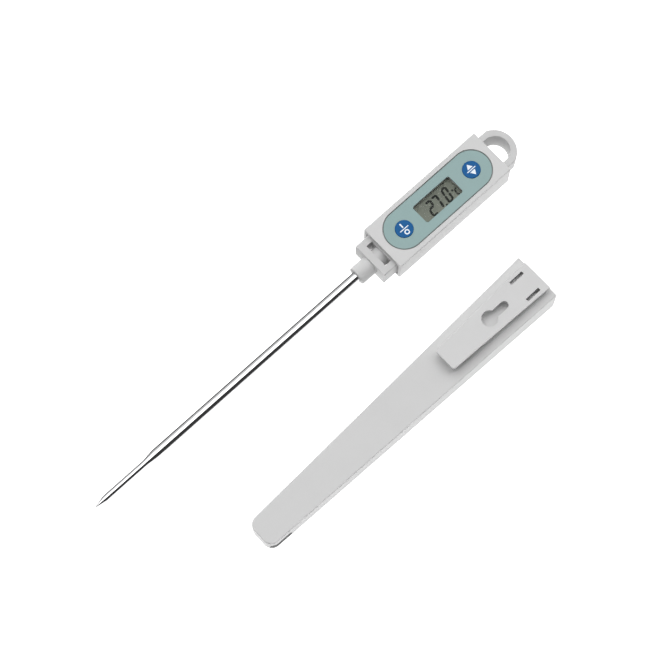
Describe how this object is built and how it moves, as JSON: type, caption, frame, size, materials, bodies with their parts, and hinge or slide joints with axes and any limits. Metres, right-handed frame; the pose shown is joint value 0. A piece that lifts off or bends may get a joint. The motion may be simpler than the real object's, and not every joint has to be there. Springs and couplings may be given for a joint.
{
  "type": "soil thermometer probe",
  "caption": "Pen-style digital soil thermometer: pointed steel probe on a rectangular housing with display, buttons and hanging loop, with its separate tapered clip-on sheath lying beside it.",
  "frame": {"origin": "centre of the housing's back face, on the surface that the thermometer lies on", "axes": "+X along the probe from its point to the hanging loop, +Z out of the display, +Y away from the sheath"},
  "size_m": [0.2347, 0.0756, 0.0199],
  "materials": {
    "housing_plastic": "fine satin moulded plastic, pale grey",
    "nose_plastic": "satin moulded plastic, pale grey",
    "polished_steel": "mirror polished stainless steel",
    "panel_film": "printed film, grey-green, fine matt",
    "clear_window": "clear acrylic",
    "button_blue": null,
    "lcd_glass": "grey-green reflective display with near-black segments",
    "cap_plastic": "satin moulded plastic, pale grey",
    "sheath_plastic": "satin moulded plastic, pale grey",
    "clip_plastic": "satin moulded plastic, pale grey",
    "seal_rubber": "black nitrile",
    "bead_glass": "amber glass bead",
    "lead_insulation": "thin enamelled leads",
    "sleeve_plastic": "natural sleeving",
    "potting_resin": "black epoxy",
    "board_laminate": "green glass-epoxy board",
    "frame_plastic": "white moulded plastic",
    "connector_elastomer": "zebra elastomer",
    "screw_steel": "plated steel",
    "switch_plastic": "black",
    "capacitor_ceramic": "tan ceramic",
    "contact_metal": "plated spring brass",
    "cell_steel": "bright steel can"
  },
  "bodies": {
    "thermometer": {"housing": "housing_plastic", "probe_holder": "nose_plastic", "probe_tube": "polished_steel", "panel_overlay": "panel_film", "window_lens": "clear_window", "lcd_panel": "lcd_glass", "housing_gasket": "seal_rubber", "thermistor": "bead_glass", "sensor_wire_a": "lead_insulation", "sensor_wire_b": "lead_insulation", "wire_sleeve": "sleeve_plastic", "tube_end_seal": "potting_resin", "circuit_board": "board_laminate", "lcd_frame": "frame_plastic", "elastomer_strip_a": "connector_elastomer", "elastomer_strip_b": "connector_elastomer", "frame_screw_front": "screw_steel", "frame_screw_rear": "screw_steel", "controller_blob": "potting_resin", "timing_crystal": "cell_steel", "chip_capacitor": "capacitor_ceramic", "chip_resistor": "switch_plastic", "on_off_switch": "switch_plastic", "max_min_switch": "switch_plastic", "contact_positive": "contact_metal", "contact_negative": "contact_metal"},
    "on_off_button": {"on_off_button": "button_blue"},
    "max_min_button": {"max_min_button": "button_blue"},
    "battery_cap": {"battery_cap": "cap_plastic", "cap_seal": "seal_rubber", "battery_tray": "cap_plastic", "button_cell": "cell_steel"},
    "sheath": {"sheath": "sheath_plastic"},
    "pocket_clip": {"pocket_clip": "clip_plastic"}
  },
  "joints": [
    {"name": "on_off_press", "type": "slide", "parent": "thermometer", "child": "on_off_button", "axis": [0, 0, -1], "range_m": [0, 0.00035], "stiffness_N_per_m": 1500},
    {"name": "max_min_press", "type": "slide", "parent": "thermometer", "child": "max_min_button", "axis": [0, 0, -1], "range_m": [0, 0.00035], "stiffness_N_per_m": 1500},
    {"name": "cap_slide", "type": "slide", "parent": "thermometer", "child": "battery_cap", "axis": [1, 0, 0], "range_m": [0, 0.022]},
    {"name": "sheath_draw", "type": "slide", "parent": "thermometer", "child": "sheath", "axis": [-1, -0.0087, 0], "range_m": [0, 0.2]},
    {"name": "clip_flex", "type": "hinge", "parent": "sheath", "child": "pocket_clip", "pos_m": [0.0063, -0.053, 0.0163], "axis": [-0.0087, 1, 0], "range_deg": [0, 4], "stiffness_Nm_per_rad": 3}
  ]
}
